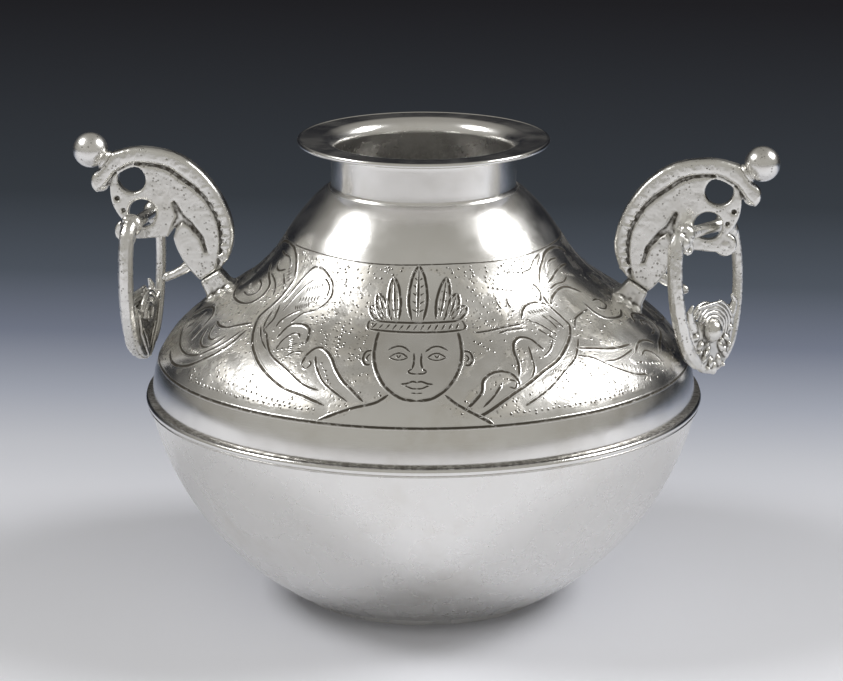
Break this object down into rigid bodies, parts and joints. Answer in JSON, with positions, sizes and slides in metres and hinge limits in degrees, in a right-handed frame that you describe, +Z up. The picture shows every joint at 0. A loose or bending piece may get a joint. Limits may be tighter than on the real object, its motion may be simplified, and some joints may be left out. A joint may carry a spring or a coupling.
{
  "type": "sugar bowl",
  "caption": "Round-bellied silver sugar bowl with a chased shoulder, a flat-lipped neck, and cast brackets that carry loose hanging bail handles.",
  "frame": {"origin": "centre of the foot's base, on the surface it stands on", "axes": "+Z up along the bowl's axis, handles along X, chased face towards -Y"},
  "size_m": [0.1602, 0.127, 0.1063],
  "materials": {
    "raised_silver": "hand-raised silver sheet, satin polish with faint hammer waves and light warm stains",
    "chased_silver": "polished silver with chased lines and a matted ground, darkened in the lines",
    "collar_silver": "planished silver, bright",
    "wire_silver": "drawn and polished silver wire with tarnish along its edges",
    "cast_silver": "cast silver, pitted skin, dark in the hollows",
    "ball_silver": "polished silver ball with a few small pits"
  },
  "bodies": {
    "bowl": {"lower_bowl": "raised_silver", "foot_ring": "raised_silver", "shoulder": "chased_silver", "girdle_wire": "wire_silver", "neck_collar": "collar_silver", "lip_wire": "wire_silver", "left_pad": "cast_silver", "left_bracket": "cast_silver", "left_spur": "cast_silver", "left_finial_collar": "cast_silver", "left_finial_ball": "ball_silver", "right_pad": "cast_silver", "right_bracket": "cast_silver", "right_spur": "cast_silver", "right_finial_collar": "cast_silver", "right_finial_ball": "ball_silver"},
    "left_bail": {"left_bail_pin": "cast_silver", "left_bail_arm_front": "cast_silver", "left_bail_arm_rear": "cast_silver", "left_bail_ornament": "cast_silver"},
    "right_bail": {"right_bail_pin": "cast_silver", "right_bail_arm_front": "cast_silver", "right_bail_arm_rear": "cast_silver", "right_bail_ornament": "cast_silver"}
  },
  "joints": [
    {"name": "left_bail_swing", "type": "hinge", "parent": "bowl", "child": "left_bail", "pos_m": [-0.0643, 0, 0.08609], "axis": [0.1908, 0.9816, 0], "range_deg": [0, 118]},
    {"name": "right_bail_swing", "type": "hinge", "parent": "bowl", "child": "right_bail", "pos_m": [0.0643, 0, 0.08674], "axis": [-0.6018, -0.7986, 0], "range_deg": [0, 118]}
  ]
}
